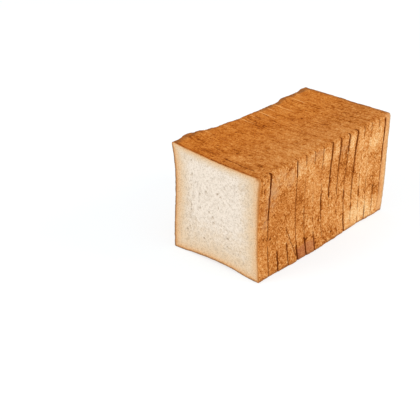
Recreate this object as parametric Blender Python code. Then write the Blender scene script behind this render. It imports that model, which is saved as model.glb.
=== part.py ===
"""A sliced tin loaf: fifteen slices and the crusted heel, standing as they were cut.

Metres, +Z up. X runs across the loaf, Y along it from the open cut face (-Y) to the heel (+Y).
The origin is the middle of the box round the loaf, at the surface that it stands on.
"""

import math

import bmesh
import bpy
from mathutils import Vector

# The tin's inside, which sets the loaf's section.
WIDTH = 0.1174
HEIGHT = 0.1168
TOP_RADIUS = 0.0032
BASE_RADIUS = 0.0014
SHARP_RADIUS = 0.0003

# Slices, counted from the open face. They get a little thinner towards the heel, where they are squeezed.
FULL_SLICES = 14
FIRST_SLICE = 0.0153
LAST_FULL_SLICE = 0.0125
SHORT_SLICE = 0.0112
HEEL = 0.0108

# The cuts splay: before the middle they lean forward and behind it back, by this much over the height. The first
# slices have sagged back upright.
LEAN = 0.0031
LEAN_TURNS_AT_CUT = 9.2
LEAN_TURN_CUTS = 1.8
UPRIGHT_LEAN = 0.0033
UPRIGHT_CUTS = 2.6

# How the crumb shrank as it cooled: every side is pulled in between its corners. The heel's crust kept it square.
SIDE_SHRINK = 0.0032
TOP_SAG = 0.0032
FRONT_SAG = 0.0019
BASE_ARCH = 0.0026
FOOT = 0.0420
LEFT_PLAN_SHRINK = 0.0046
RIGHT_PLAN_SHRINK = 0.0006
HEEL_FLARE = 0.0016

# The open end is twisted: its left side leans out at the top and is pulled in just below, its top rises to the left,
# and its right edge curls in. The base spread at the right and is tucked in at the heel.
FRONT_TWIST = 0.0028
FRONT_LIFT = 0.0009
LEFT_TILT = 0.0018
LEFT_SKEW = 0.0050
RIGHT_FULLNESS = 0.35
BASE_SPREAD = 0.0026
SPREAD_ENDS = 0.75
BASE_TUCK = 0.0020
CURL = 0.0018
CURL_FOOT = 0.0150

# How the slices slipped against each other after the cut: a little everywhere, and more where they were handled.
SLIP = 0.0003
RISE = 0.0003
HANDLED_SLIPS = {1: 0.0004, 2: -0.0004, 15: 0.0004, 16: -0.0003}
PROUD_ON_LEFT = {2: 0.0028, 3: 0.0018, 4: 0.0008, 5: -0.0008, 6: -0.0004, 7: -0.0006, 8: -0.0010, 13: 0.0010}
STEP_SLICE = 10
STEP_DROP = 0.0016
GOLDEN_ANGLE = 2.39996

# The slits that stand open, as cut number: (width at the base, width at the top). All others are pressed shut.
SHUT = 0.0003
OPEN_CUTS = {
    1: (0.0004, 0.0011),
    4: (0.0011, 0.0007),
    7: (0.0008, 0.0004),
    8: (0.0004, 0.0008),
    9: (0.0003, 0.0006),
    10: (0.0008, 0.0004),
    11: (0.0005, 0.0009),
    15: (0.0005, 0.0013),
}

# Rings across a slice, as (share of its thickness, how far the crust is drawn in from the full section). The first
# slice has one more, for its curled edge.
EDGE_PULL = 0.0005
SLICE_RINGS = ((0.0, EDGE_PULL), (0.12, 0.0), (0.88, 0.0), (1.0, EDGE_PULL))
FIRST_RINGS = SLICE_RINGS[:2] + ((0.4, 0.0),) + SLICE_RINGS[2:]
HEEL_ROUND = 0.0032
HEEL_BULGE = 0.0010
HEEL_DISH_INSET = 0.022

# Points round the section.
SIDE_POINTS = 10
CORNER_POINTS = 5

CRUST_COLOUR = (0.52, 0.22, 0.06, 1.0)
CRUMB_COLOUR = (0.83, 0.72, 0.56, 1.0)


def clear_scene():
    for old in list(bpy.data.objects):
        bpy.data.objects.remove(old, do_unlink=True)


def bread_material(name, colour, roughness):
    made = bpy.data.materials.new(name)
    made.use_nodes = True
    shader = made.node_tree.nodes["Principled BSDF"]
    shader.inputs["Base Color"].default_value = colour
    shader.inputs["Roughness"].default_value = roughness
    shader.inputs["Metallic"].default_value = 0.0
    return made


def thicknesses():
    """Each slice's thickness, from the open face to the heel."""
    step = (LAST_FULL_SLICE - FIRST_SLICE) / (FULL_SLICES - 1)
    full = [FIRST_SLICE + step * i for i in range(FULL_SLICES)]
    return full + [SHORT_SLICE, HEEL]


def cut_places():
    """The cuts' places along the loaf at mid-height, the open face first and the heel's end last."""
    places = [0.0]
    for thickness in thicknesses():
        places.append(places[-1] + thickness)
    half = places[-1] / 2
    return [place - half for place in places]


def slit_width(cut, height_share):
    """How wide a cut stands open, at a share of the height. The loaf's two ends aren't slits."""
    if cut in (0, len(thicknesses())):
        return 0.0
    base, top = OPEN_CUTS.get(cut, (SHUT, SHUT))
    return base + (top - base) * height_share


def cut_y(cut, z, places):
    """Where a cut's middle lies along the loaf, at a height."""
    lean = LEAN * math.tanh((cut - LEAN_TURNS_AT_CUT) / LEAN_TURN_CUTS)
    lean += UPRIGHT_LEAN * math.exp(-((cut / UPRIGHT_CUTS) ** 2))
    return places[cut] + lean * (z / HEIGHT - 0.5)


def rounded_square(inset):
    """The tin's section drawn in by an inset, as (x, z) anticlockwise from the foot of the right side."""
    half, low, high = WIDTH / 2 - inset, inset, HEIGHT - inset
    at_top = max(TOP_RADIUS - inset, SHARP_RADIUS)
    at_base = max(BASE_RADIUS - inset, SHARP_RADIUS)
    bottom, top = low + at_base, high - at_top
    sides = (
        (Vector((half, bottom)), Vector((half, top))),
        (Vector((half - at_top, high)), Vector((at_top - half, high))),
        (Vector((-half, top)), Vector((-half, bottom))),
        (Vector((at_base - half, low)), Vector((half - at_base, low))),
    )
    centres = (
        (half - at_top, top, at_top),
        (at_top - half, top, at_top),
        (at_base - half, bottom, at_base),
        (half - at_base, bottom, at_base),
    )
    outline = []
    for quarter, ((start, end), (centre_x, centre_z, radius)) in enumerate(zip(sides, centres)):
        outline += [tuple(start.lerp(end, step / (SIDE_POINTS - 1))) for step in range(SIDE_POINTS)]
        for step in range(1, CORNER_POINTS):
            turn = math.pi / 2 * (quarter + step / CORNER_POINTS)
            outline.append((centre_x + radius * math.cos(turn), centre_z + radius * math.sin(turn)))
    return outline


def top_drop(number):
    """How far a slice's top stands below the tin's height: a step where the loaf has slumped, and a small slip."""
    slumped = STEP_DROP * math.exp(-(((number - STEP_SLICE) / 1.6) ** 2))
    return slumped + RISE * (1 + math.sin(GOLDEN_ANGLE * number))


def shrunk(x, z, y, length, number):
    """The baked section's point for a point of the tin's section, in the slice with this number."""
    across = x / (WIDTH / 2)
    up = 2 * z / HEIGHT - 1
    to_heel = min(max(y / length + 0.5, 0.0), 1.0)
    softness = 1 - to_heel**4
    to_front = (1 - to_heel) ** 2
    plan = (LEFT_PLAN_SHRINK if x < 0 else RIGHT_PLAN_SHRINK) * 4 * to_heel * (1 - to_heel)
    pinch = SIDE_SHRINK * softness * (1 - up * up)
    if x < 0:
        pinch += LEFT_SKEW * to_front * up * (1 - up * up)
    else:
        pinch *= 1 - RIGHT_FULLNESS * to_front
    new_x = x - across * (pinch + plan)
    proud = PROUD_ON_LEFT.get(number + 1, 0.0) * max(-across, 0.0)
    new_x -= proud + LEFT_TILT * up * to_front * max(-across, 0.0)
    spread = BASE_SPREAD * math.sin(math.pi * min(to_heel / SPREAD_ENDS, 1.0)) - BASE_TUCK * to_heel**4
    new_x += max(across, 0.0) * (HEEL_FLARE * to_heel**8 + spread * max(-up, 0.0) ** 3)
    if up > 0:
        sag = (TOP_SAG * softness - (TOP_SAG - FRONT_SAG) * to_front) * (1 - across * across)
        twist = FRONT_TWIST * across * to_front
        return new_x, z - up * (sag + twist - FRONT_LIFT * to_front + top_drop(number) - proud / 2)
    return new_x, z - up * BASE_ARCH * max(0.0, 1 - (x / FOOT) ** 2)


def curl(x, z, share):
    """How far the first slice's right edge is drawn in, at a share of its thickness behind the open face."""
    at_edge = max(0.0, 1 - share / FIRST_RINGS[2][0]) ** 2
    above_foot = min(z / CURL_FOOT, 1.0) * (1 - 0.5 * z / HEIGHT)
    return CURL * at_edge * above_foot * max(x / (WIDTH / 2), 0.0) ** 3


def slice_blank(rings):
    """A closed prism with one side face for each point of the outline and for each step between rings."""
    made = bmesh.new()
    sides = 4 * (SIDE_POINTS + CORNER_POINTS - 1)
    front = bmesh.ops.create_circle(made, segments=sides, radius=1.0)["verts"]
    loops = [front]
    front_edges = edges = made.edges[:]
    for _ in rings[1:]:
        grown = bmesh.ops.extrude_edge_only(made, edges=edges)["geom"]
        edges = [part for part in grown if isinstance(part, bmesh.types.BMEdge)]
        same_place = {tuple(part.co): part for part in grown if isinstance(part, bmesh.types.BMVert)}
        loops.append([same_place[tuple(vert.co)] for vert in front])
    bmesh.ops.edgeloop_fill(made, edges=front_edges)
    bmesh.ops.edgeloop_fill(made, edges=edges)
    return made, loops


def build_slice(number, rings, places, material):
    """One slice as a closed solid between its two cuts. The name counts from the open face."""
    made, loops = slice_blank(rings)
    length = places[-1] - places[0]
    middle = (places[number] + places[number + 1]) / 2
    slip = HANDLED_SLIPS.get(number + 1, SLIP * math.sin(GOLDEN_ANGLE * number + 1.0))
    for loop, (share, inset) in zip(loops, rings):
        bulge = HEEL_BULGE if inset > HEEL_ROUND else 0.0
        for vert, (x, z) in zip(loop, rounded_square(inset)):
            new_x, new_z = shrunk(x, z, middle, length, number)
            if number == 0:
                new_x -= curl(x, z, share)
            up = new_z / HEIGHT
            front = cut_y(number, new_z, places) + slit_width(number, up) / 2
            back = cut_y(number + 1, new_z, places) - slit_width(number + 1, up) / 2
            vert.co = (new_x + slip, front + (back - front) * share + bulge - middle, new_z)
    made.normal_update()
    bmesh.ops.recalc_face_normals(made, faces=made.faces[:])
    mesh = bpy.data.meshes.new(f"slice_{number + 1:02d}")
    made.to_mesh(mesh)
    made.free()
    mesh.materials.append(material)
    piece = bpy.data.objects.new(mesh.name, mesh)
    bpy.context.scene.collection.objects.link(piece)
    piece.location.y = middle
    return piece


def heel_rings():
    """The heel's cut side is like any slice's, and its crusted end turns in with a round edge."""
    turned = []
    steps = 3
    for step in range(steps + 1):
        angle = math.pi / 2 * step / steps
        turned.append((1.0 - HEEL_ROUND * (1 - math.sin(angle)) / HEEL, HEEL_ROUND * (1 - math.cos(angle))))
    return SLICE_RINGS[:2] + tuple(turned) + ((1.0, HEEL_DISH_INSET),)


def centre_on_base(parent, pieces):
    """Moves the parent so that the origin is the middle of the pieces' box, at its lowest level."""
    corners = [piece.location + vert.co for piece in pieces for vert in piece.data.vertices]
    for axis in (0, 1):
        values = [corner[axis] for corner in corners]
        parent.location[axis] = -(min(values) + max(values)) / 2
    parent.location.z = -min(corner.z for corner in corners)


def main():
    clear_scene()
    crust = bread_material("golden_crust", CRUST_COLOUR, 0.62)
    crumb = bread_material("white_crumb", CRUMB_COLOUR, 0.85)
    loaf = bpy.data.objects.new("loaf_place", None)
    bpy.context.scene.collection.objects.link(loaf)
    places = cut_places()
    count = len(places) - 1
    pieces = []
    for number in range(count):
        rings = FIRST_RINGS if number == 0 else heel_rings() if number == count - 1 else SLICE_RINGS
        pieces.append(build_slice(number, rings, places, crumb if number == 0 else crust))
    for piece in pieces:
        piece.parent = loaf
    centre_on_base(loaf, pieces)


main()
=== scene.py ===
# %% [markdown]
# # A sliced tin loaf, modelled and finished slice by slice
# A tin loaf is baked in a square tin with a lid, so its four sides are flat, thin-crusted and browned all over.
# This one was cut through after baking, and its slices still stand pressed together. The frame gives sixteen plain
# solids, one for each slice. This lesson wraps a dense skin on each of them and shapes the crust and the crumb in it.

# %% Load the frame
import math

import bmesh
import bpy
import numpy as np
from mathutils import Matrix, Vector
from mathutils.bvhtree import BVHTree


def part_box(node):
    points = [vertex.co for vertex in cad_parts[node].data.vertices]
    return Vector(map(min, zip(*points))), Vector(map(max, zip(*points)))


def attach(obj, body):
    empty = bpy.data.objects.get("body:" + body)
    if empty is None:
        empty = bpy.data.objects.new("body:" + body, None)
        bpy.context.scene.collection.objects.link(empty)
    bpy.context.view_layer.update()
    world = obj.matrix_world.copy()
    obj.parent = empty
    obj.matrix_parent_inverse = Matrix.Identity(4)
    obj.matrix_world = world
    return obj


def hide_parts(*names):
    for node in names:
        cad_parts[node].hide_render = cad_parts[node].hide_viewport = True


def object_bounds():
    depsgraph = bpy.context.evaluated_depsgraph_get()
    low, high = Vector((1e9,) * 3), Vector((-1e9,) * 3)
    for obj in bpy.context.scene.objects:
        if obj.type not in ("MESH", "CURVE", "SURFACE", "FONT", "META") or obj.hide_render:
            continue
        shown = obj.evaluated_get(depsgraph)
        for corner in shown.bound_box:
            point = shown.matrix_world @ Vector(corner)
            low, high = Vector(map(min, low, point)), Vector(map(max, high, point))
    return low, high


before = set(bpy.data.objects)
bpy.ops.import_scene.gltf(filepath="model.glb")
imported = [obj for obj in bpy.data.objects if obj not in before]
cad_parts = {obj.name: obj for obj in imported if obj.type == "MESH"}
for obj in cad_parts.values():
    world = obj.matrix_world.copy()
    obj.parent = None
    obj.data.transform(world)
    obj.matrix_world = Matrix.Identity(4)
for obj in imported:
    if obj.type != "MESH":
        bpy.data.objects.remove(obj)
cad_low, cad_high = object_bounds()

MM = 0.001
slice_names = sorted(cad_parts)
last_cut = len(slice_names)
print("slices:", last_cut, "from", tuple(round(c, 4) for c in cad_low), "to", tuple(round(c, 4) for c in cad_high))

# %% [markdown]
# ## Where the camera stands
# The loaf is seen from a little above, with its open cut face on the left and a long side on the right. A long lens
# from over a metre away keeps the edges nearly parallel. The aim lies beside the loaf, so the loaf stands high and
# to the right in the picture. The camera is placed from angles and distances, since those can be read and changed.

# %% Camera
CAMERA_TURN = math.radians(42.19)
CAMERA_RISE = math.radians(27.40)
CAMERA_DISTANCE = 1.2013
AIM_ASIDE = -0.07788
AIM_UP = 0.01765
LENS = 94.29

base_middle = Vector(((cad_low.x + cad_high.x) / 2, (cad_low.y + cad_high.y) / 2, cad_low.z))
backwards = Vector((
    math.sin(CAMERA_TURN) * math.cos(CAMERA_RISE),
    -math.cos(CAMERA_TURN) * math.cos(CAMERA_RISE),
    math.sin(CAMERA_RISE),
))
rightwards = Vector((math.cos(CAMERA_TURN), math.sin(CAMERA_TURN), 0.0))
upwards = backwards.cross(rightwards)
aim = base_middle + rightwards * AIM_ASIDE + upwards * AIM_UP

camera_data = bpy.data.cameras.new("camera")
camera_data.lens = LENS
camera_data.sensor_width = 36.0
camera_data.clip_start = 0.05
camera_data.clip_end = 20.0
camera = bpy.data.objects.new("camera", camera_data)
camera.location = aim + backwards * CAMERA_DISTANCE
camera.rotation_euler = (-backwards).to_track_quat("-Z", "Y").to_euler()
bpy.context.scene.collection.objects.link(camera)
bpy.context.scene.camera = camera
print("camera at", tuple(round(c, 3) for c in camera.location))

# %% [markdown]
# ## Light and floor
# Bread is photographed in soft, bright, even light, close to white all round, so that the crumb isn't grey and the
# floor almost vanishes. A pale sky gives most of it. One large lamp at the front left and one at the back right
# model the faces a little differently from each other, so that the edges read.

# %% Sky, lamps and floor
SKY_STRENGTH = 0.65
FLOOR_HALF = 4.0


def make_sky(colour, strength):
    world = bpy.data.worlds.new("soft_sky")
    world.use_nodes = True
    world.node_tree.nodes["Background"].inputs["Color"].default_value = colour
    world.node_tree.nodes["Background"].inputs["Strength"].default_value = strength
    bpy.context.scene.world = world


def make_lamp(name, place, target, size, watts, colour):
    lamp = bpy.data.lights.new(name, "AREA")
    lamp.shape = "SQUARE"
    lamp.size = size
    lamp.energy = watts
    lamp.color = colour
    stand = bpy.data.objects.new(name, lamp)
    stand.location = place
    stand.rotation_euler = (Vector(place) - Vector(target)).to_track_quat("Z", "Y").to_euler()
    bpy.context.scene.collection.objects.link(stand)
    return stand


make_sky((1.0, 0.985, 0.965, 1.0), SKY_STRENGTH)
make_lamp("front_lamp", (-0.9, -1.7, 1.7), (0.0, 0.0, 0.05), 1.2, 18.0, (1.0, 0.98, 0.95))
make_lamp("back_lamp", (1.5, 0.9, 1.0), (0.0, 0.05, 0.05), 0.9, 17.5, (1.0, 0.97, 0.93))

floor_shape = bmesh.new()
bmesh.ops.create_grid(floor_shape, x_segments=1, y_segments=1, size=FLOOR_HALF)
floor_mesh = bpy.data.meshes.new("floor")
floor_shape.to_mesh(floor_mesh)
floor_shape.free()
floor_mesh.transform(Matrix.Translation((0, 0, cad_low.z - 0.0002)))
floor = bpy.data.objects.new("floor", floor_mesh)
bpy.context.scene.collection.objects.link(floor)

floor_paint = bpy.data.materials.new("pale_floor")
floor_paint.use_nodes = True
floor_shader = floor_paint.node_tree.nodes["Principled BSDF"]
floor_shader.inputs["Base Color"].default_value = (0.35, 0.385, 0.41, 1.0)
floor_shader.inputs["Roughness"].default_value = 0.9
floor_shader.inputs["Specular IOR Level"].default_value = 0.0
floor_shader.inputs["Emission Color"].default_value = (1.0, 1.0, 1.0, 1.0)
floor_shader.inputs["Emission Strength"].default_value = 0.69
floor_mesh.materials.append(floor_paint)

bpy.context.scene.view_settings.view_transform = "Standard"
bpy.context.scene.view_settings.look = "None"
bpy.context.scene.view_settings.exposure = 0.0
bpy.context.scene.view_settings.gamma = 1.0

# %% [markdown]
# ## Measuring a slice
# Each slice's solid already has the loaf's true section: a square that shrank as it cooled, so its sides are pulled
# in between its corners. Rays from the loaf's long axis out to the solid measure that section at every angle, and
# rays along the loaf find its two cuts. With those measurements a finer skin can be laid exactly on the solid, and a
# slice can be compared with its neighbours.

# %% Section and cuts of a slice
RAY_COUNT = 1440
CUT_PROBES = (-0.83, 0.0, 0.83)
axis_x = (cad_low.x + cad_high.x) / 2
axis_z = 0.49 * cad_high.z


def solid_tree(name):
    solid = bmesh.new()
    solid.from_mesh(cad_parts[name].data)
    tree = BVHTree.FromBMesh(solid)
    solid.free()
    return tree


def measure_slice(name):
    """The slice's radius at every angle round the loaf's axis, and its two cuts as (y at the origin, per x, per z)."""
    low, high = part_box(name)
    middle = Vector((axis_x, (low.y + high.y) / 2, axis_z))
    tree = solid_tree(name)
    angles = np.linspace(-math.pi, math.pi, RAY_COUNT, endpoint=False)
    radii = np.array([tree.ray_cast(middle, Vector((math.cos(a), 0, math.sin(a))))[3] for a in angles])
    radii = (np.roll(radii, 1) + 2 * radii + np.roll(radii, -1)) / 4
    faces = []
    for direction in (-1, 1):
        hits = []
        for across in CUT_PROBES:
            for up in CUT_PROBES:
                start = middle + Vector((across * high.x, 0, up * axis_z))
                hits.append(tree.ray_cast(start, Vector((0, direction, 0)))[0])
        hits = np.array(hits)
        terms = np.column_stack([np.ones(len(hits)), hits[:, 0], hits[:, 2]])
        faces.append(np.linalg.lstsq(terms, hits[:, 1], rcond=None)[0])
    return {"angles": angles, "radii": radii, "faces": faces}


measures = [measure_slice(name) for name in slice_names]
cut_planes = [measures[0]["faces"][0]]
cut_planes += [(before["faces"][1] + after["faces"][0]) / 2 for before, after in zip(measures, measures[1:])]
cut_planes.append(measures[-1]["faces"][1])
print("first slice: radius", round(measures[0]["radii"].min() / MM, 1), "to",
      round(measures[0]["radii"].max() / MM, 1), "mm; cuts:", len(cut_planes))

# %% [markdown]
# ## The blank
# Every slice is a square slab, so one slab serves them all. A cube is divided into a coarse net first, and then only
# the strip that becomes crust, and the end faces that can be seen, are divided again. The hidden cut faces stay
# coarse: they press against each other, and fine crumb there would only make the model heavy.

# %% A slab with a fine rim
NET_ACROSS = 57
NET_THROUGH = 7
FINER = 4
ROW_CROWDING = 0.62


def edges_along(shape, axis):
    """The edges that run along one axis of an upright slab."""
    others = [a for a in range(3) if a != axis]
    chosen = []
    for edge in shape.edges:
        run = edge.verts[0].co - edge.verts[1].co
        if all(abs(run[a]) < 1e-6 for a in others):
            chosen.append(edge)
    return chosen


def coarse_slab():
    slab = bmesh.new()
    bmesh.ops.create_cube(slab, size=2.0)
    bmesh.ops.subdivide_edges(slab, edges=edges_along(slab, 1), cuts=NET_THROUGH - 1, use_grid_fill=True)
    net = edges_along(slab, 0) + edges_along(slab, 2)
    bmesh.ops.subdivide_edges(slab, edges=net, cuts=NET_ACROSS - 1, use_grid_fill=True)
    return slab


def refine(slab, chosen_faces):
    """Divides every long edge of the chosen faces again."""
    long_edge = 1.5 / NET_ACROSS
    edges = {edge for face in chosen_faces for edge in face.edges}
    edges = [edge for edge in edges if edge.calc_length() > long_edge]
    bmesh.ops.subdivide_edges(slab, edges=edges, cuts=FINER - 1, use_grid_fill=True)


def slice_slab(fine_ends):
    """A slab whose crust strip is fine, and so are the ends listed, -1 for the front and 1 for the back."""
    slab = coarse_slab()
    refine(slab, [face for face in slab.faces if abs(face.normal.y) < 0.5])
    for end in fine_ends:
        refine(slab, [face for face in slab.faces if face.normal.y * end > 0.5])
    many_sided = [face for face in slab.faces if len(face.verts) > 4]
    bmesh.ops.triangulate(slab, faces=many_sided)
    mesh = bpy.data.meshes.new("slab")
    slab.to_mesh(mesh)
    slab.free()
    return mesh


slabs = {"middle": slice_slab(()), "front": slice_slab((-1,)), "heel": slice_slab((1,))}
for kind, slab_mesh in slabs.items():
    print(kind, "slab:", len(slab_mesh.vertices), "points")

# %% [markdown]
# ## Uneven as bread is
# Crust and crumb are uneven at several sizes at once: broad swells, wrinkles, pits and grain. Random values on a
# lattice, smoothly blended in between, give such unevenness at any size, and they can be stretched to make streaks.
# The seed fixes the values, so the loaf is the same each time. The lattice is turned, so that its rows don't show.

# %% Mottling
LATTICE = 40
lattice_turn = np.array([[0.80, 0.36, -0.48], [-0.60, 0.48, -0.64], [0.0, 0.80, 0.60]])


def mottling(points, size, seed, turned=True):
    """Smooth random values from -1 to 1, with swells of the given size: one length, or one for each axis."""
    values = np.random.default_rng(seed).uniform(-1, 1, (LATTICE, LATTICE, LATTICE))
    spots = points / (np.asarray(size) * MM)
    if turned:
        spots = spots @ lattice_turn.T
    spots = spots + 0.37 * seed
    cell = np.floor(spots).astype(int)
    part = spots - cell
    part = part * part * (3 - 2 * part)
    total = np.zeros(len(points))
    for dx in (0, 1):
        for dy in (0, 1):
            for dz in (0, 1):
                share = (
                    (part[:, 0] if dx else 1 - part[:, 0])
                    * (part[:, 1] if dy else 1 - part[:, 1])
                    * (part[:, 2] if dz else 1 - part[:, 2])
                )
                total += share * values[
                    (cell[:, 0] + dx) % LATTICE, (cell[:, 1] + dy) % LATTICE, (cell[:, 2] + dz) % LATTICE
                ]
    return total


def ease(low, high, values):
    """0 below low, 1 above high, and a smooth rise between."""
    share = np.clip((values - low) / (high - low), 0, 1)
    return share * share * (3 - 2 * share)


def hump(values, middle, half_width):
    """1 at the middle, falling smoothly to 0 at half a width away."""
    return 1 - ease(0, half_width, np.abs(values - middle))


# %% [markdown]
# ## Laying the skin on a slice
# A point of the slab has a direction from the slab's middle and a share of the way out. The same direction and share
# on the slice give its place, so the square slab takes the pinched, round-cornered section without a fold. The rows
# are crowded towards the cuts, where the crust's edge turns in and needs the finest shape. Near a cut the section is
# drawn halfway to the neighbour's, because where bread closes up again the crust runs on from slice to slice.

# %% Wrap a slab on a slice
MELD = 0.5
MELD_POWER = 2.4


def radius_at(measure, angle):
    return np.interp(angle, measure["angles"], measure["radii"], period=2 * math.pi)


def melded_radius(index, angle, share):
    """The slice's radius, drawn towards its neighbour's near each cut, so that two slices meet edge to edge."""
    own = radius_at(measures[index], angle)
    before = radius_at(measures[max(index - 1, 0)], angle)
    after = radius_at(measures[min(index + 1, last_cut - 1)], angle)
    to_cut = MELD * np.abs(2 * share - 1) ** MELD_POWER
    return own + to_cut * np.where(share < 0.5, before - own, after - own)


def lay_on(mesh, index):
    """Where each point of the slab comes to lie, and what the relief needs to know about it. Lengths in metres."""
    flat = np.empty(len(mesh.vertices) * 3)
    mesh.vertices.foreach_get("co", flat)
    across, through, up = flat.reshape(-1, 3).T
    share = (through + 1) / 2
    share = share - ROW_CROWDING * np.sin(2 * math.pi * share) / (2 * math.pi)
    share_out = np.maximum(np.abs(across), np.abs(up))
    angle = np.arctan2(up, across)
    radii = melded_radius(index, angle, share)
    edge_x, edge_z = radii * np.cos(angle), radii * np.sin(angle)
    step = math.radians(0.5)
    ahead, behind = radius_at(measures[index], angle + step), radius_at(measures[index], angle - step)
    run_x = ahead * np.cos(angle + step) - behind * np.cos(angle - step)
    run_z = ahead * np.sin(angle + step) - behind * np.sin(angle - step)
    run = np.hypot(run_x, run_z)
    out_x, out_z = run_z / run, -run_x / run
    half_width = np.where(np.abs(across) > np.abs(up), np.abs(edge_x), np.abs(edge_z))
    return {
        "x": axis_x + edge_x * share_out, "z": axis_z + edge_z * share_out, "share": share,
        "depth": (1 - share_out) * half_width, "out_x": out_x, "out_z": out_z, "angle": angle,
        "across": across, "up": up,
    }


def way_round(angle):
    """The place round the section: 0 to 1 up the right side, 1 to 2 over the top, 2 to 3 down the left, then the base."""
    turned = (angle + math.pi / 4) % (2 * math.pi)
    quarter = np.floor(turned / (math.pi / 2))
    within = turned - quarter * math.pi / 2 - math.pi / 4
    return quarter + (1 + np.tan(within)) / 2


# %% [markdown]
# ## The cuts between the slices
# Soft bread closes up again behind the knife. Along much of a cut the two crusts touch and hardly a line is left;
# elsewhere the cut gapes, mostly near the base, where the crust was pressed on the board, and at the upper rim. On
# the side that faces us each gaping stretch is given by its heights and its width. Round the rest of the loaf,
# mottling decides where a cut gapes. The slices also sag and turn a little against each other, which bends the
# cuts near the top, and the first slices are dished, because the crust dries and shrinks more than the crumb.

# %% Gaping cuts
JUST_SHUT = 0.01
GAPE_SHARE = 0.86
CUT_WANDER = 0.45
SLOW_WANDER, QUICK_WANDER = 38, 12
LOAF_HEIGHT = 117
side_gaps = {
    1: ((97, 118, 1.5), (62, 99, 0.95), (40, 63, 0.5), (0, 34, 0.5)),
    2: ((0, 23, 0.75), (32, 41, 0.2)),
    3: ((0, 26, 0.6), (34, 44, 0.3)),
    4: ((94, 115, 0.8), (62, 95, 0.45), (16, 63, 0.4), (0, 18, 1.35)),
    5: ((103, 117, 0.35), (70, 88, 0.2), (20, 58, 0.35), (0, 21, 0.8)),
    6: ((100, 117, 0.4), (56, 69, 0.25), (33, 38, 0.5), (0, 22, 0.6)),
    7: ((90, 117, 0.45), (61, 73, 0.35), (42, 62, 0.75), (28, 43, 0.5), (8, 28, 0.3)),
    8: ((93, 118, 0.9), (59, 95, 0.75), (50, 61, 0.8), (39, 46, 0.3)),
    9: ((82, 119, 0.85), (48, 84, 0.5), (26, 31, 0.4)),
    10: ((94, 119, 0.85), (56, 96, 0.4), (37, 51, 0.7), (22, 38, 0.45), (0, 21, 0.9)),
    11: ((84, 120, 1.05), (65, 86, 0.7), (33, 66, 0.55), (21, 31, 0.6), (6, 22, 0.3)),
    12: ((102, 117, 0.35), (42, 61, 0.3), (32, 43, 0.7), (17, 31, 0.4), (0, 9, 0.45)),
    13: ((104, 117, 0.35), (32, 53, 0.25), (17, 30, 0.2), (0, 18, 0.55)),
    14: ((104, 117, 0.3), (24, 41, 0.45), (3, 25, 0.3)),
    15: ((84, 113, 0.95), (61, 86, 0.7), (40, 62, 0.4), (4, 40, 0.2)),
}
bend_at_right = (0, 3.2, 1.4, 0.75, 1.05, 0.9, 0.6, 0.6, 2.4, 3.4, 3.9, 4.2, 3.0, 2.2, 2.0, 1.9, 0)
bend_at_left = (0, 0, 0, -0.8, -1.8, -3.0, -4.2, -5.0, -5.4, -5.4, -5.2, -4.4, -4.8, -5.0, -3.8, -1.8, 0)
bend_at_foot = (0, 0, -1.1, 0, 0, 0, -0.3, 0, 0, 0, 0.6, 0, 0, 0, 0, 0, 0)
dish = (1.5, 1.0, 0.3)
DISH_HALF_WIDTH = 0.0570
BEND_FROM, BEND_TO = 0.046, 0.128
FOOT_BEND_TO = 0.040


def slit_width(cut, around):
    """How wide a cut gapes at the crust, in mm, at each place round the section."""
    height = np.minimum(around, 4 - around) * LOAF_HEIGHT
    on_right = (around < 1.08) | (around > 3.97)
    width = np.full(len(around), JUST_SHUT)
    for low, high, gape in side_gaps.get(cut, ()):
        inside = (low <= 0) | (height > 0)
        inside = inside * (1 - ease(high - 2.5, high + 1.5, height))
        if low > 0:
            inside = inside * ease(low - 1.5, low + 2.5, height)
        width = np.maximum(width, GAPE_SHARE * gape * inside * on_right)
    spots = np.column_stack([np.full(len(around), cut * 0.31), around * 0.117, np.zeros(len(around))])
    elsewhere = ease(1.97, 2.05, around) * (1 - ease(3.93, 4.0, around))
    by_chance = 0.75 * ease(0.0, 0.55, mottling(spots, 24, 51))
    return np.maximum(width, by_chance * elsewhere)


def sagging(x, z, cut):
    """How far a cut is bent along the loaf, in mm, because the slices sag and turn against each other."""
    right, left = bend_at_right[cut], bend_at_left[cut]
    lift = np.clip((z - BEND_FROM) / (BEND_TO - BEND_FROM), 0, 1.1)
    at_top = (right + left) / 2 + (right - left) / 2 * x / cad_high.x
    at_foot = bend_at_foot[cut] * (1 - ease(0, FOOT_BEND_TO, z)) * ease(0, 0.04, x)
    bowed = np.clip(1 - (x / DISH_HALF_WIDTH) ** 2, 0, 1) * (1 - z / cad_high.z)
    bowed = dish[cut] * bowed if cut < len(dish) else 0.0
    return at_top * lift * (0.6 + 0.4 * lift) + at_foot + bowed


def cut_surface(x, z, cut):
    """The cut's place along the loaf, in metres: a plane, sagging, and the knife's own wandering."""
    plane = cut_planes[cut]
    flat = plane[0] + plane[1] * x + plane[2] * z
    if cut in (0, last_cut):
        return flat + MM * sagging(x, z, cut)
    spots = np.column_stack([x, np.full(len(x), cut * 0.1), z])
    wander = mottling(spots, SLOW_WANDER, 11) + 0.6 * mottling(spots, QUICK_WANDER, 12)
    return flat + MM * (sagging(x, z, cut) + CUT_WANDER * wander)


print("gaping stretches on the side:", sum(len(gaps) for gaps in side_gaps.values()))

# %% [markdown]
# ## The crust's relief
# The dough is pressed against the tin, so the crust isn't smooth: it has shallow swells, pits where a bubble lay
# against the metal, and wrinkles that came when the loaf cooled and shrank. On the sides the wrinkles run upright,
# on the top across the loaf. The hollows are coloured darker and the proud grain paler, partly as browning and
# partly as painted shade in the hollows and painted highlight on the grain. This colour is worked out together with
# the relief and kept on the points for the crust's colour.

# %% Crust relief, browning and painted shade
SWELL = 0.26
LUMP = 0.20
GRAIN = 0.17
FINE_GRAIN = 0.13
WRINKLE = 0.26
PIT = 0.34
SQUIGGLE = 0.15
CRACKLE = 0.10
STREAK = 0.08
TOP_BAKE, SIDE_BAKE = 0.50, 0.43


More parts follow.
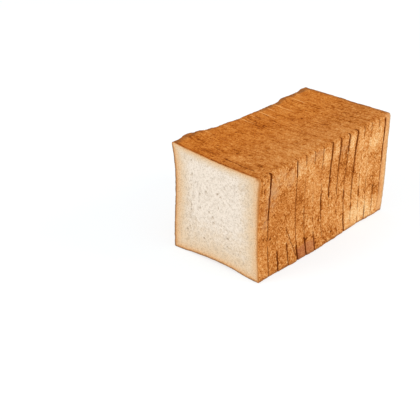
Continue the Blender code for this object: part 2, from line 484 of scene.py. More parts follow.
def faces_of_loaf(around):
    """How far a place belongs to the top, the left side and the base, from 0 to 1. The rest is the right side."""
    top = ease(0.97, 1.03, around) * (1 - ease(1.97, 2.03, around))
    left = ease(1.97, 2.03, around) * (1 - ease(2.97, 3.03, around))
    base = ease(2.97, 3.03, around) * (1 - ease(3.97, 4.0, around))
    return top, left, base


def line_where_zero(values, width):
    """1 on the lines where the values cross zero, 0 away from them."""
    return 1 - ease(0, width, np.abs(values))


def crust_relief(spots, around):
    """The crust's height in mm, and its browning with painted shade in the hollows and painted highlight on the grain,
    from about 0, pale, to 1, dark.
    """
    top, left, base = faces_of_loaf(around)
    upright = mottling(spots, (16, 1.9, 10), 5, turned=False)
    crosswise = mottling(spots, (12, 2.0, 16), 6, turned=False)
    wrinkled = ease(-0.2, 0.4, mottling(spots, 19, 7))
    wrinkles = wrinkled * ((1 - top) * line_where_zero(upright, 0.14) + top * line_where_zero(crosswise, 0.16))
    pitted = ease(-0.5, 0.3, mottling(spots, 15, 9))
    pits = pitted * ease(0.42, 0.85, mottling(spots, 2.6, 8))
    grain_coarse = mottling(spots, 3.1, 3)
    grain_fine = mottling(spots, 1.6, 4)
    squiggled = (1 - top) * ease(-0.1, 0.4, mottling(spots, 14, 60))
    squiggles = squiggled * line_where_zero(mottling(spots, 4.6, 61), 0.09)
    crackled = ease(-0.5, 0.3, mottling(spots, 16, 64)) * (1 - 0.55 * top)
    crackle = crackled * line_where_zero(mottling(spots, 2.5, 63), 0.13)
    drawn = mottling(spots, (14, 1.5, 14), 62, turned=False)
    streaks = top * (drawn + 0.8 * line_where_zero(drawn - 0.3, 0.12) - 0.8 * line_where_zero(drawn + 0.3, 0.12))
    height = (
        SWELL * mottling(spots, 18, 1) + LUMP * mottling(spots, 7.0, 2) + GRAIN * grain_coarse
        + FINE_GRAIN * grain_fine - WRINKLE * wrinkles - PIT * pits - SQUIGGLE * squiggles - CRACKLE * crackle + STREAK * streaks
    )
    # Wrinkles, pits, squiggles and crackle are darkened and the fine grain paled: partly browning, partly painted shade
    # in the hollows and painted highlight on the grain.
    bake_and_painted_light = (
        TOP_BAKE * top + SIDE_BAKE * (1 - top) + 0.09 * base
        + (0.06 - 0.03 * top) * (mottling(spots, 30, 21) + mottling(spots, 9, 22)) + 0.02 * mottling(spots, 4, 23)
        + 0.20 * wrinkles + (0.18 - 0.08 * top) * pits + 0.30 * squiggles + (0.13 + 0.05 * top) * crackle
        - 0.055 * streaks - 0.03 * grain_coarse - (0.14 - 0.05 * top) * grain_fine
    )
    return height, bake_and_painted_light


# %% [markdown]
# ## Marks on this loaf
# Every loaf has its own scars. This one has a diagonal crack low on its right side, a darker patch beside it where
# the crust was squeezed on the board, and scorched wrinkles in a few places on the top. The side's paler places
# just below its upper rim are painted highlight, and those towards its back are partly paler crust and partly
# painted light. Each mark is a named place with a reach and a strength, so it can be moved or left out.

# %% Crack, pressed patch, scorched and pale places
CRACK_SLICE = 3
CRACK_TOP = (-0.0640, 0.0430)
CRACK_FOOT = (-0.0500, 0.0070)
CRACK_DEPTH = 1.1
CRACK_HALF_WIDTH = 0.70
CREASE_FROM, CREASE_TO = (0.0020, -0.0975), (0.0420, -0.0990)
CREASE_HALF_WIDTH, CREASE_BROWNING = 1.1, 0.45
EDGE_BROWNING = 0.20
PATCH_FROM, PATCH_TO, PATCH_HEIGHT = -0.0480, -0.0185, 0.0145

# (x, y, reach along x, reach along y, added browning), in mm.
top_places = (
    (-22, -57, 5, 3.5, 0.11), (-11, -24, 5, 3, 0.12), (-2, -50, 6, 6, 0.10), (0, -71, 6, 5, 0.10),
    (17, -73, 4, 4, 0.10), (31, -73, 5, 3, 0.15), (38, -85, 4, 5, 0.12), (56, -78, 4, 3, 0.13),
    (30, -38, 4, 3, 0.07), (22, 9, 6, 6, 0.13), (8, 24, 10, 4, 0.10), (-2, 46, 7, 5, 0.10),
    (-25, 9, 4, 3, 0.09), (-15, -2, 3, 3, 0.10), (41, 50, 4, 4, 0.07), (34, 92, 5, 5, 0.10),
    (-19, 50, 4, 3, 0.08), (-25, -100, 26, 7, 0.10), (-15, -96, 14, 5, 0.12), (27, -104, 14, 4, 0.08),
    (-38, -84, 14, 12, 0.08), (-30, -12, 16, 22, 0.05), (-35, 45, 20, 60, -0.02), (45, -30, 16, 60, -0.09),
    (45, 60, 16, 45, -0.05), (30, -95, 10, 8, 0.10), (12, -88, 10, 9, -0.10), (20, -10, 18, 16, -0.07),
)
# (y, z, reach along y, reach along z, added browning), in mm. Negative browning is paler: just below the upper rim
# that is painted highlight, and towards the back it is partly paler crust and partly painted light.
side_places = (
    (-80, 97, 22, 16, -0.06), (-64, 70, 44, 40, 0.075), (-107, 108, 3, 14, 0.15), (-43, 100, 12, 12, -0.20), (-25, 96, 8, 14, -0.10), (-3, 100, 10, 13, -0.15),
    (15, 103, 7, 12, -0.16), (43, 102, 6, 12, -0.30), (60, 100, 12, 16, -0.14), (85, 95, 20, 18, -0.20),
    (104, 60, 9, 60, -0.22), (68, 68, 20, 26, -0.06), (66, 12, 46, 20, -0.30), (10, 14, 26, 18, 0.02),
    (60, 50, 40, 50, -0.03), (-102, 50, 8, 50, 0.03), (-75, 35, 24, 28, 0.02), (-44, 50, 8, 12, 0.08),
    (-42, 68, 9, 7, 0.10), (-5, 46, 3, 6, 0.22), (27, 82, 10, 9, 0.12), (40, 68, 12, 10, 0.12),
    (48, 70, 4, 9, 0.12), (33, 60, 5, 8, 0.08), (34, 81, 4, 3, 0.18), (20, 76, 4, 4, 0.16),
    (33, 23, 5, 1.4, 0.35), (-34, 17, 3, 2.5, 0.30), (89, 102, 1.6, 2.2, 0.35), (-6, 42, 2.5, 2.5, 0.35),
    (-2, 8, 3, 2, 0.22), (60, 38, 4, 6, 0.10), (46, 26, 2.5, 4, 0.25), (20, 29, 2.5, 3, 0.20),
    (-70, 88, 8, 7, 0.06), (-72, 80, 6, 6, 0.08), (-18, 12, 7, 7, 0.08),
)


# (y, z, reach along y, reach along z, share), in mm, where flour dust pales the side.
dusty_places = (
    (-88, 90, 12, 22, 0.55), (-76, 104, 14, 10, 0.35), (-60, 98, 10, 12, 0.45), (-98, 66, 8, 16, 0.30),
    (-44, 104, 10, 8, 0.40), (-20, 108, 16, 7, 0.35), (30, 100, 12, 8, 0.25),
)


def in_places(first, second, places):
    """The sum of the places' strengths at each point, with soft edges. The two coordinates are in metres."""
    total = np.zeros(len(first))
    for at_first, at_second, reach_first, reach_second, strength in places:
        away = np.hypot((first / MM - at_first) / reach_first, (second / MM - at_second) / reach_second)
        total += strength * (1 - ease(0.2, 1.15, away))
    return total


def local_browning_and_highlights(x, y, z, around):
    ragged = np.column_stack([x, y, z])
    shift_1, shift_2 = 0.0022 * mottling(ragged, 6, 43), 0.0022 * mottling(ragged, 6, 44)
    top, left, base = faces_of_loaf(around)
    right = 1 - top - left - base
    on_top = in_places(x + shift_1, y + shift_2, top_places)
    on_top += CREASE_BROWNING * (1 - ease(0, CREASE_HALF_WIDTH, distance_to_line(x, y + shift_1 / 3, CREASE_FROM, CREASE_TO)))
    on_top += EDGE_BROWNING * (1 - ease(0.8, 3.6, (y - cad_low.y) / MM))
    # The paler side places below the upper rim are painted highlight, and those towards the back are partly painted
    # light.
    on_side = in_places(y + shift_1, z + shift_2, side_places)
    return top * on_top + right * on_side


def dusting(x, y, z, top):
    """How dusty the right side is, from 0 to 1, broken up by the grain."""
    broken = 0.6 + 0.8 * mottling(np.column_stack([x, y, z]), 3.5, 45)
    return (1 - top) * (x > 0) * np.clip(in_places(y, z, dusty_places) * broken, 0, 1)


def distance_to_line(y, z, start, end):
    """Distance in mm from points on the side to a straight line between two places."""
    run_y, run_z = end[0] - start[0], end[1] - start[1]
    share = ((y - start[0]) * run_y + (z - start[1]) * run_z) / (run_y**2 + run_z**2)
    share = np.clip(share, 0, 1)
    return np.hypot(y - start[0] - share * run_y, z - start[1] - share * run_z) / MM


def crack(x, y, z, around):
    """1 in the middle of the crack, 0 off it. The crack wavers a little."""
    strayed = y + 0.0007 * mottling(np.column_stack([x, y, z]), 6, 41)
    on_side = (around < 0.98) | (around > 3.5)
    return on_side * (1 - ease(0, CRACK_HALF_WIDTH, distance_to_line(strayed, z, CRACK_TOP, CRACK_FOOT)))


def pressed_patch(x, y, z):
    """The darker, pinker patch low on the right side."""
    ragged = 0.0030 * mottling(np.column_stack([x, y, z]), 6, 42)
    along = ease(PATCH_FROM - 0.002, PATCH_FROM + 0.002, y) * (1 - ease(PATCH_TO - 0.003, PATCH_TO + 0.002, y))
    low = 1 - ease(PATCH_HEIGHT - 0.002, PATCH_HEIGHT + 0.0025, z + ragged)
    return along * low * (x > 0.03)


# %% [markdown]
# ## The crumb's relief
# White tin bread has a fine, even crumb. Its pores are cut open by the knife: mostly a millimetre or two across,
# drawn upright towards the left side where the dough was rolled, and with a few larger holes. A smooth, close
# border without pores runs inside the crust. The pores are real hollows here, so they catch the light from any side.

# %% Pores of the open face
# (x, z, radius, how much taller than wide, depth), in mm.
open_holes = (
    (-31.5, 106.8, 1.0, 1.0, 1.2), (-31.2, 92.0, 0.9, 2.2, 0.9), (-32.3, 84.0, 0.8, 1.6, 0.7),
    (-35.3, 73.8, 0.8, 2.2, 0.7), (-32.3, 57.0, 0.8, 2.6, 0.8), (-32.8, 51.2, 0.8, 1.8, 0.7),
    (-20.9, 72.6, 1.2, 2.4, 0.9), (-12.6, 77.0, 1.1, 1.7, 1.0), (-25.9, 83.8, 0.9, 1.3, 0.6),
    (3.1, 80.0, 1.5, 0.9, 1.4), (6.8, 78.2, 1.1, 0.9, 1.2), (4.3, 65.0, 1.0, 1.3, 1.0),
    (-8.5, 56.2, 1.0, 1.6, 1.0), (-3.4, 51.9, 1.6, 1.1, 1.4), (-2.3, 45.7, 1.8, 0.8, 1.4),
    (8.3, 53.2, 1.0, 1.2, 0.6), (-19.7, 57.5, 0.9, 2.4, 0.7), (8.3, 46.2, 1.0, 1.0, 0.6),
    (14.8, 43.8, 1.0, 1.1, 0.7), (21.8, 43.8, 1.0, 1.0, 0.6), (16.6, 34.4, 2.0, 0.6, 1.4),
    (16.4, 25.0, 1.1, 1.3, 1.0), (25.2, 25.3, 1.0, 1.0, 0.5), (-15.2, 23.8, 1.6, 0.7, 1.2),
    (-38.3, 26.3, 1.2, 1.3, 1.5), (29.7, 63.8, 1.0, 0.9, 0.5), (2.1, 16.4, 0.9, 1.0, 0.5),
    (28.3, 91.2, 1.0, 1.1, 0.5), (43.3, 46.3, 0.9, 1.0, 0.5), (27.7, 11.4, 1.2, 0.8, 0.6),
    (37.7, 13.8, 1.2, 0.7, 0.6), (-49.3, 65.7, 0.8, 0.9, 0.9), (-34.5, 31.5, 0.8, 1.4, 0.7),
)
PORE_DEPTH = 0.70


def crumb_relief(x, z, depth):
    """How far the knife's face is hollowed, in mm, and how deep in a pore each point lies, from 0 to 1."""
    spots = np.column_stack([x, np.zeros(len(x)), z])
    inner = ease(3.0, 13, depth / MM)
    rolled = 1 - ease(-0.030, -0.010, x + 0.006 * mottling(spots, 18, 30))
    round_pores = mottling(spots, 2.3, 31)
    long_pores = mottling(spots, (1.8, 1.8, 6.0), 32, turned=False)
    blend = round_pores * (1 - 0.8 * rolled) + long_pores * 0.95 * rolled
    pores = 0.65 * ease(0.15, 0.80, blend) + 0.45 * ease(0.45, 0.85, mottling(spots, 3.4, 33))
    pores += 0.30 * ease(0.25, 0.8, mottling(spots, 1.25, 34))
    pores = (0.15 + 0.85 * inner) * np.clip(pores, 0, 1.0)
    holes = np.zeros(len(x))
    hole_depth = np.zeros(len(x))
    stray = 0.5 * mottling(spots, 1.8, 38)
    for hole_x, hole_z, radius, tall, deep in open_holes:
        away = np.hypot(x / MM - hole_x, (z / MM - hole_z) / tall) + stray
        hole = 1 - ease(radius * 0.3, radius * 1.25, away)
        holes = np.maximum(holes, hole * min(deep, 1.0))
        hole_depth = np.maximum(hole_depth, hole * deep)
    swell = 0.20 * mottling(spots, 24, 35) + 0.10 * mottling(spots, 8, 36) + 0.07 * mottling(spots, 2.4, 37)
    return PORE_DEPTH * pores + hole_depth + swell, np.clip(pores * 0.55 + holes, 0, 1)


# %% [markdown]
# ## Shaping a slice
# Now everything meets. The slab is laid between two cuts, the crust's edge is turned in beside each cut, and the
# relief pushes the crust in and out. The rim between top and side is scalloped, because each slice bulges there and
# is drawn in where the knife went through.

# %% Shape a slice
EDGE_TURN_SIDE, EDGE_TURN_TOP = 0.05, 0.02
EDGE_TURN_PER_GAPE = 0.50
EDGE_REACH = 0.7
# Painted shade: the strength of the dark line painted along every inner cut, also where it is shut.
FAINT_LINE_SHADE = 0.20
EDGE_REACH_PER_GAPE = 1.1
# Painted shade: how much darker the side is made beside a gaping cut.
VALLEY_SHADE = 0.05
SCALLOP = 0.95
SCALLOP_REACH = 3.0
HEEL_ROUND = 1.8
THICK_RIM = 0.8
HALF_FACE = 0.0585
BLEND = 2.6
rim_stages = (0, 1, 2, 3, 4, 5, 6, 7)
# How deep in mm each stage of the crumb's colour lies from each side.
rim_widths = {
    "right": (0, 1.4, 2.5, 4.4, 9.5, 17, 27, 40), "top": (0, 0.5, 1.1, 2.1, 4.2, 7.0, 11, 20),
    "left": (0, 1.8, 3.1, 5.6, 10.5, 16, 26, 40), "base": (0, 1.7, 2.7, 4.3, 8.5, 20, 46, 62),
}
SLIT_DEPTH = 6.5
# cut: (from, to) in mm across the top, where a light line is painted: partly torn crumb, partly painted highlight on
# the slices' edges.
light_cut_lines = {
    3: (-54, -46), 5: (-53, -45), 7: (-50, -33), 8: (-50, -38), 9: (-50, -26), 10: (-49, -37), 11: (-50, -26),
    13: (-48, -27), 14: (-53, -46),
}


def turned_in(distance, drop, reach):
    """How far the crust is drawn in, in mm, at a distance in mm from the cut."""
    rest = 1 - np.clip(distance / reach, 0, 1)
    return drop * rest * rest


def scallops(around, cut):
    """How strongly the rim is drawn in at a cut. The first slices are still firm."""
    near_right = hump(around, 1.0, 0.16) * (0.5 if cut < 4 else 1.0)
    near_left = hump(around, 2.0, 0.14) * 0.3
    return near_right + 0.8 * near_left


def light_cut_line(cut, x, around, distance):
    """1 along the thin light lines on the top at the cuts: partly crumb showing between the slices, partly painted
    highlight on their edges.
    """
    if cut not in light_cut_lines:
        return np.zeros(len(around))
    start, end = light_cut_lines[cut]
    top = faces_of_loaf(around)[0]
    along = ease(start - 2, start + 2, x / MM) * (1 - ease(end - 6, end + 3, x / MM))
    return top * along * (1 - ease(0.15, 0.75, distance))


def rim_stage(skin, around):
    """The crumb's colour stage, from 0, crust, through tan, peach and cream to 6, white. Each side has its own depths."""
    thick_crust = THICK_RIM * ease(55, 108, skin["z"] / MM)
    half = HALF_FACE / MM
    depths = {"right": (1 - skin["across"]) * half - thick_crust, "left": (1 + skin["across"]) * half,
              "top": (1 - skin["up"]) * half, "base": (1 + skin["up"]) * half}
    blended = sum(np.exp(-BLEND * np.interp(depths[side], rim_widths[side], rim_stages)) for side in depths)
    return np.maximum(-np.log(blended) / BLEND, 0)


def shape_slice(index, mesh):
    """Moves the slab's points to the finished slice and stores what its materials need."""
    skin = lay_on(mesh, index)
    x, z, depth, angle = skin["x"], skin["z"], skin["depth"], skin["angle"]
    around = way_round(angle)
    top, left, base = faces_of_loaf(around)
    cuts = (index, index + 1)
    gapes = [slit_width(cut, around) if 0 < cut < last_cut else np.zeros(len(x)) for cut in cuts]
    fading = np.exp(-depth / MM / SLIT_DEPTH)
    front = cut_surface(x, z, cuts[0]) + 0.5 * MM * gapes[0] * fading
    back = cut_surface(x, z, cuts[1]) - 0.5 * MM * gapes[1] * fading
    y = front + (back - front) * skin["share"]

    spots = np.column_stack([x, y, z])
    height, bake_and_painted_light = crust_relief(spots, around)
    bake_and_painted_light = bake_and_painted_light + local_browning_and_highlights(x, y, z, around)
    cracked = crack(x, y, z, around) if index == CRACK_SLICE else np.zeros(len(x))
    torn_and_highlight = np.zeros(len(x))
    gaping = np.zeros(len(x))
    for cut, gape, distance in zip(cuts, gapes, ((y - front) / MM, (back - y) / MM)):
        inner_cut = 0 < cut < last_cut
        scallop = scallops(around, cut) if inner_cut else 0.0
        drop = EDGE_TURN_SIDE * (1 - top) + EDGE_TURN_TOP * top + EDGE_TURN_PER_GAPE * gape + SCALLOP * scallop
        reach = EDGE_REACH + EDGE_REACH_PER_GAPE * gape + SCALLOP_REACH * scallop
        if cut == last_cut:
            inward = np.clip(HEEL_ROUND - distance, 0, HEEL_ROUND)
            height -= HEEL_ROUND - np.sqrt(HEEL_ROUND**2 - inward**2)
        else:
            height -= turned_in(distance, drop, reach)
        torn_and_highlight = np.maximum(torn_and_highlight, light_cut_line(cut, x, around, distance))
        # Painted shade on the side beside a gaping cut.
        bake_and_painted_light = bake_and_painted_light + VALLEY_SHADE * np.minimum(gape, 1) * (1 - ease(0.4, 3.6, distance)) * (1 - top)
        if inner_cut:
            # Painted shade along the cuts: a faint dark line at every inner cut and a wider, darker band where it
            # gapes.
            edge = FAINT_LINE_SHADE * (1 - ease(0.0, 0.5, distance)) * (1 - 0.8 * top)
            wide = np.clip(1.6 * gape, 0, 1) * (1 - ease(0.15 + 0.25 * gape, 0.55 + 0.65 * gape, distance))
            gaping = np.maximum(gaping, np.maximum(edge, wide))
    height -= CRACK_DEPTH * cracked
    # Painted shade: the rim turning away at the top left, the foot of the sides and the heel's top back edge are
    # darkened.
    edge_shade = ease(1.912, 1.950, around) * (1 - ease(2.010, 2.030, around))
    edge_shade = np.maximum(edge_shade, (1 - top) * (1 - ease(1.5, 4.2, z / MM)))
    heel_edge_shade, end_face = np.zeros(len(x)), np.zeros(len(x))
    if index == last_cut - 1:
        # Painted shade on the heel's side next to its far end.
        heel_edge_shade = (1 - ease(2.0, 5.0, (back - y) / MM)) * (1 - top)
        edge_shade = np.maximum(edge_shade, top * (1 - ease(3.0, 7.0, (back - y) / MM)))

    pore = np.zeros(len(x))
    if index == 0:
        hollow, pore = crumb_relief(x, z, depth)
        on_face = ease(0.1, 0.8, depth / MM) * (skin["share"] < 1e-6)
        y = y + MM * hollow * on_face
        pore = pore * on_face
    if index == last_cut - 1:
        inset = depth / MM
        bulge = 1.2 * ease(0, 26, inset) - 0.4 * ease(30, 55, inset)
        face_relief, face_bake_and_painted_light = crust_relief(spots, np.full(len(x), 0.5))
        on_face = skin["share"] > 1 - 1e-6
        y = y + MM * on_face * ease(0.5, 4.0, inset) * (bulge + face_relief)
        end_face = on_face * ease(0.4, 4.0, inset)
        bake_and_painted_light = bake_and_painted_light + end_face * (face_bake_and_painted_light - bake_and_painted_light)

    rim = 1 - end_face
    push = height * MM * np.exp(-depth / MM / 2.2)
    x = x + skin["out_x"] * push
    z = np.maximum(z + skin["out_z"] * push, cad_low.z)
    mesh.vertices.foreach_set("co", np.column_stack([x, y, z]).ravel())
    is_open_face = (skin["share"] < 1e-6) if index == 0 else np.zeros(len(x), bool)
    keep_on_points(mesh, {
        "stage": rim_stage(skin, around), "bake_and_painted_light": bake_and_painted_light, "pore": pore, "torn_and_highlight": torn_and_highlight,
        # The gaping mask holds the painted shade along the cuts and in the crack.
        "gaping": np.maximum(gaping, cracked), "patch": pressed_patch(x, y, z),
        "dusty": dusting(x, y, z, top),
        # Hidden cut faces, where the crumb is painted dark as shade.
        "hidden": np.where(is_open_face, 0.0, 0.5 + 0.5 * ease(0.0, 0.5, depth / MM)),
        # The open face's left and base rims, where painted shade darkens the outer crumb band.
        "edge_on_rim_shade": np.clip(left + base, 0, 1), "on_top": top * rim, "upper": top * rim * (1 - 0.75 * ease(-0.030, 0.035, x)),
        # Painted shade on rims seen edge-on, along the foot of the sides, and at the heel's far edge.
        "edge_shade": edge_shade * rim * np.clip(0.8 + 0.5 * mottling(spots, 4, 46), 0, 1), "heel_side": (1 - top) * rim * (index == last_cut - 1), "heel_edge_shade": heel_edge_shade * rim,
    })
    mesh.update()


def keep_on_points(mesh, values):
    for name, numbers in values.items():
        layer = mesh.attributes.new(name, "FLOAT", "POINT")
        layer.data.foreach_set("value", numbers.astype(np.float32))


# %% [markdown]
# ## Finishes: helper
# A finish is a small network of nodes. The helper below adds a node, sets its plain values and joins its inputs, so
# that each finish can be read from top to bottom.

# %% Node helper
def new_finish(name):
    finish = bpy.data.materials.new(name)
    finish.use_nodes = True
    return finish, finish.node_tree, finish.node_tree.nodes["Principled BSDF"]


def add_node(tree, kind, settings=None, **joined):
    """Adds a node. Joined inputs are given by name, with _ for a space, or by number as in_0, in_1."""
    made = tree.nodes.new(kind)
    for key, value in (settings or {}).items():
        setattr(made, key, value)
    for key, value in joined.items():
        socket = made.inputs[int(key[3:])] if key.startswith("in_") else made.inputs[key.replace("_", " ")]
        if isinstance(value, bpy.types.NodeSocket):
            tree.links.new(value, socket)
        else:
            socket.default_value = value
    return made


def point_value(tree, name):
    return add_node(tree, "ShaderNodeAttribute", {"attribute_name": name}).outputs["Fac"]


def sums(tree, operation, first, second):
    return add_node(tree, "ShaderNodeMath", {"operation": operation}, in_0=first, in_1=second).outputs[0]


def blend_colours(tree, share, first, second, how="MIX"):
    mixer = add_node(tree, "ShaderNodeMix", {"data_type": "RGBA", "blend_type": how}, in_0=share)
    for socket, colour in ((mixer.inputs[6], first), (mixer.inputs[7], second)):
        if isinstance(colour, bpy.types.NodeSocket):
            tree.links.new(colour, socket)
        else:
            socket.default_value = colour
    return mixer.outputs[2]


def colour_ramp(tree, share, stops):
    ramp = add_node(tree, "ShaderNodeValToRGB", in_0=share)
    bands = ramp.color_ramp.elements
    while len(bands) < len(stops):
        bands.new(0.5)
    for band, (place, colour) in zip(bands, stops):
        band.position = place
        band.color = (*colour, 1.0)
    return ramp.outputs["Color"]


def grain(tree, where, size_mm, detail=2.0, roughness=0.55):
    return add_node(
        tree, "ShaderNodeTexNoise", Vector=where, Scale=1000.0 / size_mm, Detail=detail, Roughness=roughness
    ).outputs["Fac"]


# %% [markdown]
# ## Crust
# The crust's colour comes from how hard each place was baked: honey where it's pale, through chestnut, to nearly
# burnt in the wrinkles, whose darkness is partly painted shade. The browning and painted light kept on the points
# give the broad pattern, two grains of noise break it up, and a third paints fine flecks of shade and highlight.
# The surface is dry and hardly shines, and a fine bump adds what is too small for the mesh.

# %% Crust finish
crust_browns = (
    (0.00, (0.930, 0.660, 0.350)),
    (0.22, (0.845, 0.465, 0.178)),
    (0.42, (0.680, 0.282, 0.072)),
    (0.60, (0.490, 0.154, 0.021)),
    (0.80, (0.240, 0.060, 0.005)),
    (1.00, (0.100, 0.022, 0.002)),
)
UPPER_TINT = (1.07, 0.96, 0.68, 1.0)
# Fine flecks of painted shade and painted highlight, partly grain tone, multiplied over the whole crust.
FLECK_SHADE_AND_HIGHLIGHT = ((0.34, (0.80, 0.66, 0.55)), (0.50, (0.95, 0.93, 0.92)), (0.64, (1.0, 1.0, 1.0)))
# Light lines at some cuts on the top: partly torn crumb, partly painted highlight on the slices' edges.
TORN_CRUMB_AND_HIGHLIGHT = (0.96, 0.48, 0.16, 1.0)
PATCH_BROWN = (0.42, 0.140, 0.060, 1.0)
# Painted shade deep inside the cuts, on the hidden crumb faces.
DEEP_SLIT_SHADE = (0.090, 0.014, 0.001, 1.0)
# Painted shade along the cuts and in the crack.
CUT_LINE_SHADE = (0.170, 0.032, 0.001, 1.0)
DUSTY_TAN = (0.610, 0.350, 0.170, 1.0)
# Painted shade on the rims seen edge-on and along the foot of the sides.
EDGE_SHADE_BROWN = (0.270, 0.105, 0.032, 1.0)
HEEL_TAN = (0.720, 0.370, 0.155, 1.0)
# Painted shade on the heel's side next to its far end.
HEEL_EDGE_SHADE = (0.520, 0.330, 0.170, 1.0)


def make_crust():
    finish, tree, shader = new_finish("golden_crust")
    where = add_node(tree, "ShaderNodeTexCoord").outputs["Object"]
    fine = grain(tree, where, 1.4, 2.0, 0.6)
    coarse = grain(tree, where, 3.4, 3.0, 0.6)
    other = add_node(tree, "ShaderNodeVectorMath", {"operation": "ADD"}, in_0=where, in_1=(3.1, 1.7, 0.9)).outputs[0]
    light_and_dark = grain(tree, other, 1.3, 1.0, 0.5)
    strength = sums(tree, "SUBTRACT", 1.12, sums(tree, "MULTIPLY", point_value(tree, "on_top"), 0.45))
    fine_share = sums(tree, "MULTIPLY", sums(tree, "SUBTRACT", fine, 0.5), strength)
    coarse_share = sums(tree, "MULTIPLY", sums(tree, "SUBTRACT", coarse, 0.5), 0.20)
    bake_and_painted_light = sums(tree, "ADD", point_value(tree, "bake_and_painted_light"), sums(tree, "ADD", fine_share, coarse_share))
    colour = colour_ramp(tree, bake_and_painted_light, crust_browns)
    # Fine flecks of painted shade and painted highlight, partly grain tone.
    painted_flecks = colour_ramp(tree, light_and_dark, FLECK_SHADE_AND_HIGHLIGHT)
    colour = blend_colours(tree, 1.0, colour, painted_flecks, "MULTIPLY")
    colour = blend_colours(tree, point_value(tree, "upper"), colour, UPPER_TINT, "MULTIPLY")
    colour = blend_colours(tree, point_value(tree, "dusty"), colour, DUSTY_TAN)
    colour = blend_colours(tree, sums(tree, "MULTIPLY", point_value(tree, "patch"), 0.6), colour, PATCH_BROWN)
    colour = blend_colours(tree, sums(tree, "MULTIPLY", point_value(tree, "heel_side"), 0.5), colour, HEEL_TAN)
    # Painted shade on the heel's side next to its far end.
    colour = blend_colours(tree, sums(tree, "MULTIPLY", point_value(tree, "heel_edge_shade"), 0.8), colour, HEEL_EDGE_SHADE)
    # Painted shade on the rims seen edge-on and along the foot of the sides.
    colour = blend_colours(tree, sums(tree, "MULTIPLY", point_value(tree, "edge_shade"), 0.85), colour, EDGE_SHADE_BROWN)
    # Painted shade along the cuts and in the crack.
    colour = blend_colours(tree, point_value(tree, "gaping"), colour, CUT_LINE_SHADE)
    # Light lines at some cuts on the top: partly torn crumb, partly painted highlight.
    colour = blend_colours(tree, sums(tree, "MULTIPLY", point_value(tree, "torn_and_highlight"), 0.95), colour, TORN_CRUMB_AND_HIGHLIGHT)
    tree.links.new(colour, shader.inputs["Base Color"])
    rough = add_node(tree, "ShaderNodeMapRange", Value=coarse, in_1=0.3, in_2=0.7, in_3=0.55, in_4=0.75)
    tree.links.new(rough.outputs[0], shader.inputs["Roughness"])
    bump = add_node(tree, "ShaderNodeBump", Strength=0.6, Distance=0.0004, Height=fine)
    tree.links.new(bump.outputs[0], shader.inputs["Normal"])
    shader.inputs["Specular IOR Level"].default_value = 0.02
    return finish


crust = make_crust()

# %% [markdown]
# ## Crumb
# On a cut face the colour runs from the brown crust through a tan rim into cream and then almost white crumb. The
# stage kept on the points drives it, and a little noise keeps the bands from being ruled lines. Pores are shaded a
# little darker and warmer, as light is lost in them. The outermost band at the left and the base is darkened as
# painted shade, where the crust is seen edge-on. Inside the closed cuts the crumb is painted dark brown as shade,
# so that a gap looks dark.

# %% Crumb finish
STAGES = 6.0
crumb_bands = (
    (0.00, (0.540, 0.205, 0.050)),
    (0.17, (0.640, 0.290, 0.095)),
    (0.33, (0.790, 0.460, 0.225)),
    (0.50, (0.855, 0.565, 0.325)),
    (0.67, (0.850, 0.640, 0.430)),
    (0.83, (0.865, 0.705, 0.535)),
    (1.00, (0.930, 0.818, 0.700)),
)
PORE_SHADE = (0.50, 0.41, 0.31, 1.0)
# Painted shade on the outermost band of the open face at the left and the base, where the crust is seen edge-on.
EDGE_ON_RIM_SHADE = (0.330, 0.185, 0.095, 1.0)
# Painted shade: the crust's edge on a hidden cut face, darkened.
SHADED_CRUST_EDGE = (0.300, 0.075, 0.008)


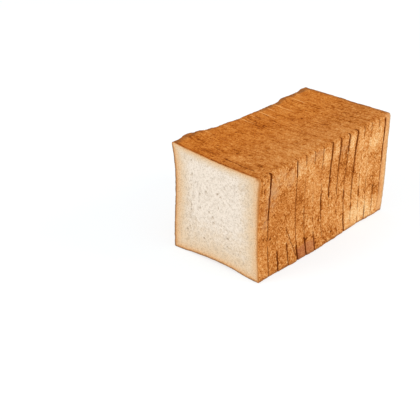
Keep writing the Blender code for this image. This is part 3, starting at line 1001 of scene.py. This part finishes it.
def make_crumb():
    finish, tree, shader = new_finish("white_crumb")
    where = add_node(tree, "ShaderNodeTexCoord").outputs["Object"]
    fine = grain(tree, where, 1.4, 2.0, 0.6)
    coarse = grain(tree, where, 6.0, 3.0, 0.5)
    waver = sums(tree, "MULTIPLY", sums(tree, "SUBTRACT", coarse, 0.5), 1.5)
    waver = sums(tree, "ADD", waver, sums(tree, "MULTIPLY", sums(tree, "SUBTRACT", fine, 0.5), 1.4))
    stage = point_value(tree, "stage")
    wavered = sums(tree, "ADD", stage, sums(tree, "MULTIPLY", waver, sums(tree, "MINIMUM", stage, 1.0)))
    colour = colour_ramp(tree, sums(tree, "DIVIDE", wavered, STAGES), crumb_bands)
    tint = colour_ramp(tree, fine, ((0.32, (0.74, 0.725, 0.70)), (0.52, (0.98, 0.98, 0.98)), (0.70, (1.0, 1.0, 1.0))))
    colour = blend_colours(tree, 1.0, colour, tint, "MULTIPLY")
    colour = blend_colours(tree, sums(tree, "MULTIPLY", point_value(tree, "pore"), 0.8), colour, PORE_SHADE)
    # Painted shade on the outermost band at the left and the base of the open face.
    outermost = add_node(tree, "ShaderNodeMapRange", Value=wavered, in_1=0.55, in_2=1.05, in_3=1.0, in_4=0.0)
    dark = sums(tree, "MULTIPLY", outermost.outputs[0], point_value(tree, "edge_on_rim_shade"))
    colour = blend_colours(tree, dark, colour, EDGE_ON_RIM_SHADE)
    # Painted shade on the hidden cut faces: the crust's edge darkened next to the rim, and darkest deeper in.
    in_slit = colour_ramp(tree, point_value(tree, "hidden"), ((0.5, SHADED_CRUST_EDGE), (1.0, DEEP_SLIT_SHADE[:3])))
    is_inside = sums(tree, "MINIMUM", sums(tree, "MULTIPLY", point_value(tree, "hidden"), 2.0), 1.0)
    colour = blend_colours(tree, is_inside, colour, in_slit)
    tree.links.new(colour, shader.inputs["Base Color"])
    rough = add_node(tree, "ShaderNodeMapRange", Value=fine, in_1=0.2, in_2=0.8, in_3=0.78, in_4=0.95)
    tree.links.new(rough.outputs[0], shader.inputs["Roughness"])
    bump = add_node(tree, "ShaderNodeBump", Strength=0.6, Distance=0.0005, Height=fine)
    tree.links.new(bump.outputs[0], shader.inputs["Normal"])
    shader.inputs["Specular IOR Level"].default_value = 0.1
    return finish


crumb = make_crumb()

# %% [markdown]
# ## All sixteen slices
# Each slice takes a copy of its slab, is shaped on its own measurements, and gets crust round its rim and crumb on
# its cut faces. The heel's end is crust too.

# %% Build the slices
CRUST_SLOT, CRUMB_SLOT = 0, 1
SHARP_ANGLE = math.radians(55)


def dress_faces(mesh, index):
    """Crust round the rim, crumb on the cut faces, and crust on the heel's end, told apart by the slab's flat faces."""
    normals = np.empty(len(mesh.polygons) * 3)
    mesh.polygons.foreach_get("normal", normals)
    facing = normals.reshape(-1, 3)[:, 1]
    finish = np.where(np.abs(facing) > 0.5, CRUMB_SLOT, CRUST_SLOT)
    if index == last_cut - 1:
        finish = np.where(facing > 0.5, CRUST_SLOT, finish)
    mesh.polygons.foreach_set("material_index", finish.astype(np.int32))


def build_slice(index):
    kind = "front" if index == 0 else "heel" if index == last_cut - 1 else "middle"
    mesh = slabs[kind].copy()
    mesh.name = f"bread_{index + 1:02d}"
    mesh.materials.append(crust)
    mesh.materials.append(crumb)
    dress_faces(mesh, index)
    shape_slice(index, mesh)
    mesh.shade_smooth()
    mesh.set_sharp_from_angle(angle=SHARP_ANGLE)
    piece = bpy.data.objects.new(mesh.name, mesh)
    bpy.context.scene.collection.objects.link(piece)
    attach(piece, "root")
    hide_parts(slice_names[index])
    return piece


pieces = [build_slice(index) for index in range(last_cut)]
for slab_mesh in slabs.values():
    bpy.data.meshes.remove(slab_mesh)
total = sum(len(piece.data.loop_triangles) or sum(len(f.vertices) - 2 for f in piece.data.polygons) for piece in pieces)
print("slices built:", len(pieces), "triangles:", total)
